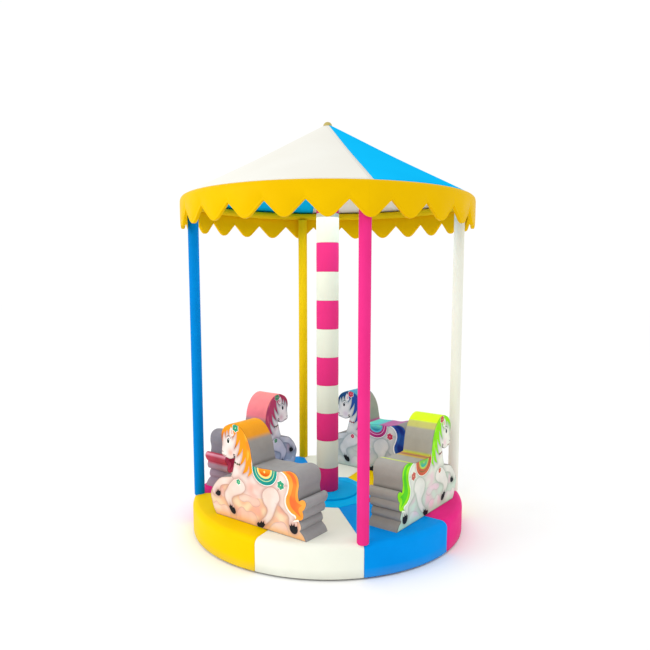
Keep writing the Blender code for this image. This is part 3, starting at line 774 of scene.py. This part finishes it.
def rosette(x, y, radius, petals, depth, steps):
    """A flower or a dot: petals round a middle, the notches between them a share of the radius deep."""
    turns = [pi / 2 + pi * step / petals for step in range(petals * 2)]
    reaches = [radius * (1.0 - depth * (step % 2)) for step in range(petals * 2)]
    points = [(x + reach * cos(turn), y + reach * sin(turn)) for turn, reach in zip(turns, reaches)]
    return curved(points, steps)


def saddle_cloth(scale):
    """A round-bottomed flap that hangs from the seat."""
    middle, half, top, drop, over = -82, 106 * scale, 404, 112 * scale, 440
    turns = [pi * step / 12 for step in range(13)]
    flap = [(middle + half * cos(turn), top - drop * sin(turn) ** 0.8) for turn in turns]
    return [(middle + half, over, 0)] + flap + [(middle - half, over, 0)]


def drawing():
    """The print's shapes from the lowest to the topmost, as pairs of a colour's name and an outline."""
    shapes = [("cloud", curved(cloud, 5)) for cloud in CLOUDS]
    shapes.append(("coat", curved(BODY, 3)))
    shapes += [("limb", curved(limb, 6)) for limb in LIMBS]
    shapes += [(name, curved(points, 5)) for name, points in TAIL]
    shapes += [("hoof", curved(hoof, 3)) for hoof in HOOVES]
    shapes += [(name, curved(points, 5)) for name, points in MANE]
    shapes += [("coat", curved(EAR, 5)), ("ear_inner", curved(EAR_INNER, 4))]
    shapes += [(name, curved(saddle_cloth(scale), 3)) for name, scale in CLOTH_BANDS]
    shapes.append(("cloth_light", rosette(-82, 378, 9, 4, 0.30, 3)))
    shapes += [("halo", curved(EYE_RIM, 3)), ("eye", curved(EYE, 3))]
    shapes.append(("halo", rosette(238, 538, 3.4, 3, 0.3, 2)))
    shapes += [("dark", stroke(*line)) for line in FACE_LINES]
    shapes.append(("mouth", stroke(*MOUTH)))
    # The bridle's ring, and its beads
    shapes += [("dark", rosette(188, 440, 10, 6, 0.05, 2)), ("coat", rosette(188, 440, 4.5, 6, 0.05, 2))]
    shapes += [("bead", rosette(x, y, 9.5, 4, 0.35, 2)) for x, y in BEADS]
    for x, y, radius in ROSETTES:
        shapes.append(("halo", rosette(x, y, radius + 3, 6, 0.18, 3)))
        shapes.append(("flower", rosette(x, y, radius, 6, 0.20, 4)))
        shapes.append(("flower_centre", rosette(x, y, radius * 0.15, 6, 0.1, 2)))
    return shapes


def inset(outline, depth):
    """An outline, run anticlockwise, drawn in by a depth."""
    made = []
    for index, here in enumerate(outline):
        back = (here - outline[index - 1]).normalized()
        ahead = (outline[(index + 1) % len(outline)] - here).normalized()
        inward = Vector((-back.y - ahead.y, back.x + ahead.x))
        made.append(here + inward * depth / max(1.0 + back.dot(ahead), 0.5))
    return made


def anticlockwise(outline):
    area = sum(a.x * b.y - a.y * b.x for a, b in zip(outline, outline[1:] + outline[:1]))
    return outline if area > 0 else outline[::-1]


def distance_to(outline, point):
    """From a point to the nearest stretch of a closed outline."""
    best = 1e9
    x, y = point
    for a, b in zip(outline, outline[1:] + outline[:1]):
        dx, dy = b.x - a.x, b.y - a.y
        length = dx * dx + dy * dy
        share = 0.0 if length == 0 else min(max(((x - a.x) * dx + (y - a.y) * dy) / length, 0.0), 1.0)
        best = min(best, (a.x + share * dx - x) ** 2 + (a.y + share * dy - y) ** 2)
    return best ** 0.5


def airbrushed(shapes, top, place, near):
    """A point's share of the ink's second shade, its blush, the shade beside what lies over it together with
    the painted shade along the block's outline, and the low tint over the floor."""
    cloud_size = 70
    shade_reach = 14.0
    rim_reach = 5.0
    name, line = shapes[top]
    x, y = place
    cloudy = noise.noise(Vector((x / cloud_size, y / cloud_size, 0.0)))
    shares = {"mane": fade(0, 50, x - 85 - 0.35 * (y - 350)), "forelock": fade(612, 540, y),
              "cloth_centre": fade(400, 350, y), "coat": fade(420, 200, y)}
    share = shares.get(name, fade(-0.4, 0.4, cloudy))
    if name not in SOFT:
        return share, 0.0, 0.0, 0.0
    spots = [exp(-((x - at_x) ** 2 + (y - at_y) ** 2) / size ** 2) for at_x, at_y, size in BLUSH_SPOTS]
    blush = 0.15 if name == "limb" else min(sum(spots[1:]) * 0.9, 1.0) * fade(-0.35, 0.25, cloudy)
    shade = max([0.0] + [exp(-away / shade_reach) for index, away in near if index > top]) * 0.85
    if name in ("limb", "cloud"):
        rim = 0.60 * exp(-distance_to(line, place) / rim_reach)
        shade = max(shade, rim * (fade(235, 190, y) if name == "limb" else 1.0))
    # Painted shade darkens the face along the block's outline
    shade = max(shade, 0.55 * exp(-distance_to(shapes[0][1], place) / rim_reach))
    return share, max(blush, spots[0] * 0.85), shade, fade(60, 0, y) * 0.8


def print_layout():
    """The face's triangles and the airbrushing of their corners, which are the same on every horse."""
    track = anticlockwise(curved(HORSE_OUTLINE, OUTLINE_STEPS))
    outline = inset(track, HORSE_EDGE * 1000)
    shapes = [("ground", outline)] + [(name, anticlockwise(line)) for name, line in drawing()]
    points = []
    faces = []
    for _, line in shapes:
        faces.append(list(range(len(points), len(points) + len(line))))
        points += line
    # A fine mesh between the outlines carries the airbrushed shading
    step = 10.0
    for row in range(75):
        for column in range(85):
            points.append(Vector((-420 + (column + row % 2 / 2) * step, 5 + row * step * 0.87)))
    verts, _, triangles, _, _, covers = delaunay_2d_cdt(points, [], faces, 1, 1e-4, True)
    kept = [(tuple(triangle), max(cover)) for triangle, cover in zip(triangles, covers) if 0 in cover]
    casting = [(index, line) for index, (name, line) in enumerate(shapes) if name in CASTING]
    near = {}
    brushed = {}
    for triangle, top in kept:
        for corner in triangle:
            if (corner, top) in brushed:
                continue
            if corner not in near and shapes[top][0] in SOFT:
                near[corner] = [(index, distance_to(line, verts[corner])) for index, line in casting]
            brushed[(corner, top)] = airbrushed(shapes, top, verts[corner], near.get(corner, ()))
    return track, outline, [shape[0] for shape in shapes], verts, kept, brushed


def mixed(first, second, share):
    return tuple(a + (b - a) * share for a, b in zip(first, second))


def print_colour(inks, name, brush):
    share, blush, shade, low = brush
    ink = inks[name]
    colour = mixed(linear(ink[0]), linear(ink[1]), share) if isinstance(ink, tuple) else linear(ink)
    for tint, amount in (("blush", blush), ("low", low), ("shade", shade)):
        colour = mixed(colour, linear(inks[tint]), amount)
    return colour


def side_colour(stops, place):
    """The colour at a place along the outline, with the end stops' colours before and after them."""
    for (here, first), (there, second) in zip(stops, stops[1:]):
        if place <= there:
            return mixed(linear(first), linear(second), fade(here, there, place))
    return linear(stops[-1][1])


def horse_place(azimuth, heading):
    """Turns the flat drawing, X forward and Y up, to where the horse stands."""
    forward = along(azimuth) * heading
    up = Vector((0, 0, 1))
    turn = Matrix((forward, up, forward.cross(up))).transposed().to_4x4()
    place = around(azimuth, HORSE_FACE - HORSE_THICK / 2, DECK_Z + GAP) + along(azimuth) * HORSE_SHIFT
    return Matrix.Translation(place) @ turn


def rim_places(track, outline, verts, rim):
    """For each corner of the face's rim, the point of the full outline outside it and its place among the
    listed points."""
    count = len(track)
    places = {}
    for corner in rim:
        point = Vector(verts[corner])
        away = [distance_to([outline[index - 1], outline[index]], point) for index in range(count)]
        nearest = (away.index(min(away)) - 1) % count
        edge = outline[(nearest + 1) % count] - outline[nearest]
        share = min(max((point - outline[nearest]).dot(edge) / edge.length_squared, 0.0), 1.0)
        outer = track[nearest].lerp(track[(nearest + 1) % count], share)
        places[corner] = (outer, (count - 1 - nearest - share) / OUTLINE_STEPS % (count / OUTLINE_STEPS))
    return places


def make_horses():
    printed = printed_vinyl()
    track, outline, names, verts, triangles, brushed = print_layout()
    edges = {(a, b) for triangle, _ in triangles for a, b in zip(triangle, triangle[1:] + triangle[:1])}
    places = rim_places(track, outline, verts, {a for a, b in edges if (b, a) not in edges})
    half = HORSE_THICK / 2
    # Steps down the block's side: how far out from the face's rim, and the height; 1 is fully out
    turns = (30, 60, 90)
    steps = [(sin(radians(turn)), half - HORSE_EDGE * (1 - cos(radians(turn)))) for turn in turns]
    steps += [(1.0, half * share) for share in (0.6, 0.2, -0.2, -0.6)]
    steps += [(out, -z) for out, z in steps[2::-1]] + [(0.0, -half)]
    for colour, azimuth, heading in HORSES:
        inks = PRINTS[colour]
        bm = bmesh.new()
        paint = bm.loops.layers.float_color.new("print")
        corner_of = bm.verts.layers.int.new("corner")
        front = [bm.verts.new((x / 1000, y / 1000, half)) for x, y in verts]
        for corner, vert in enumerate(front):
            vert[corner_of] = corner
        for triangle, top in triangles:
            face = bm.faces.new([front[corner] for corner in triangle])
            for spot, corner in zip(face.loops, triangle):
                spot[paint] = print_colour(inks, names[top], brushed[(corner, top)])
        bmesh.ops.delete(bm, geom=[vert for vert in bm.verts if not vert.link_faces], context="VERTS")
        rim = [edge for edge in bm.edges if edge.is_boundary]
        twin = bmesh.ops.duplicate(bm, geom=bm.faces[:])["geom"]
        bmesh.ops.translate(bm, vec=(0, 0, -HORSE_THICK), verts=of_kind(twin, bmesh.types.BMVert))
        bmesh.ops.reverse_faces(bm, faces=of_kind(twin, bmesh.types.BMFace))
        for row, (out, z) in enumerate(steps):
            grown = bmesh.ops.extrude_edge_only(bm, edges=rim)["geom"]
            corners = set(of_kind(grown, bmesh.types.BMVert))
            rim = [edge for edge in of_kind(grown, bmesh.types.BMEdge) if corners.issuperset(edge.verts)]
            for vert in corners:
                across = Vector(verts[vert[corner_of]]).lerp(places[vert[corner_of]][0], out) / 1000
                vert.co = (across.x, across.y, z)
            # Painted shade darkens the rounded edge along both rims
            dark = 0.35 if row < len(turns) or row >= len(steps) - len(turns) else 0.0
            for face in of_kind(grown, bmesh.types.BMFace):
                for spot in face.loops:
                    tint = side_colour(inks["side"], places[spot.vert[corner_of]][1])
                    spot[paint] = mixed(tint, (0.0, 0.0, 0.0, 1.0), dark)
        bmesh.ops.transform(bm, matrix=horse_place(azimuth, heading), verts=bm.verts)
        finish_piece(bm, "horse_body_" + colour, printed, "horse_" + colour, sharp=40)


# Hidden pieces keep their solids and take these finishes

def dress_solids():
    painted = metal("black_painted_steel", "3A3D40", 0.45, 0.0)
    bearing = metal("turned_bearing_steel", "A8ABB0", 0.28, 1.0, turned_marks=True)
    bright = metal("bright_drawn_steel", "C2C5C9", 0.3, 1.0, turned_marks=True)
    finishes = {"base_cross": painted, "turntable_arms": painted, "slew_ring_lower": bearing,
                "slew_ring_upper": bearing, "column_core": bright, "crown_hub": bright,
                "turntable_board": birch_plywood()}
    for name, made in finishes.items():
        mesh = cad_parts[name].data
        mesh.materials.clear()
        mesh.materials.append(made)


# Studio

def make_studio():
    scene = bpy.context.scene
    photo_size = 650              # pixels, both ways
    principal_row = 354.6         # row of the photo that the camera's axis meets
    data = bpy.data.cameras.new("studio_camera")
    data.sensor_width = 36.0
    data.lens = 34.9
    data.shift_y = (principal_row - photo_size / 2) / photo_size
    camera = bpy.data.objects.new("studio_camera", data)
    camera.location = (0.0, -4.6264, 1.8318)
    camera.rotation_euler = (radians(90.0 - 6.956), 0.0, 0.00403)
    scene.collection.objects.link(camera)
    scene.camera = camera

    bm = bmesh.new()
    bmesh.ops.create_circle(bm, cap_ends=True, radius=40.0, segments=96)
    mesh = bpy.data.meshes.new("studio_floor")
    bm.to_mesh(mesh)
    bm.free()
    mesh.materials.append(painted_floor())
    floor = bpy.data.objects.new("studio_floor", mesh)
    scene.collection.objects.link(floor)

    world = bpy.data.worlds.new("studio_world")
    world.use_nodes = True
    background = world.node_tree.nodes["Background"]
    background.inputs["Color"].default_value = (1.0, 1.0, 1.0, 1.0)
    background.inputs["Strength"].default_value = 1.02
    scene.world = world
    scene.view_settings.view_transform = "Standard"

    # A large soft lamp from the left, and a weak one for the daylight that the thin canopy lets through
    lamps = (("key_light", (-5.0, -2.9, 3.6), (0.0, 0.0, 1.2), 3.0, 80.0),
             ("canopy_light", (0.0, 0.0, 2.26), (0.0, 0.0, 0.0), 1.5, 8.5))
    for name, place, target, size, energy in lamps:
        light = bpy.data.lights.new(name, "AREA")
        light.shape = "DISK"
        light.size = size
        light.energy = energy
        lamp = bpy.data.objects.new(name, light)
        lamp.location = place
        aim = Vector(target) - Vector(place)
        lamp.rotation_euler = aim.to_track_quat("-Z", "Y").to_euler()
        scene.collection.objects.link(lamp)


make_studio()
make_deck_pads()
make_centre()
make_column()
make_posts()
make_hoop()
make_canopy()
make_finial()
make_valance()
make_horses()
dress_solids()
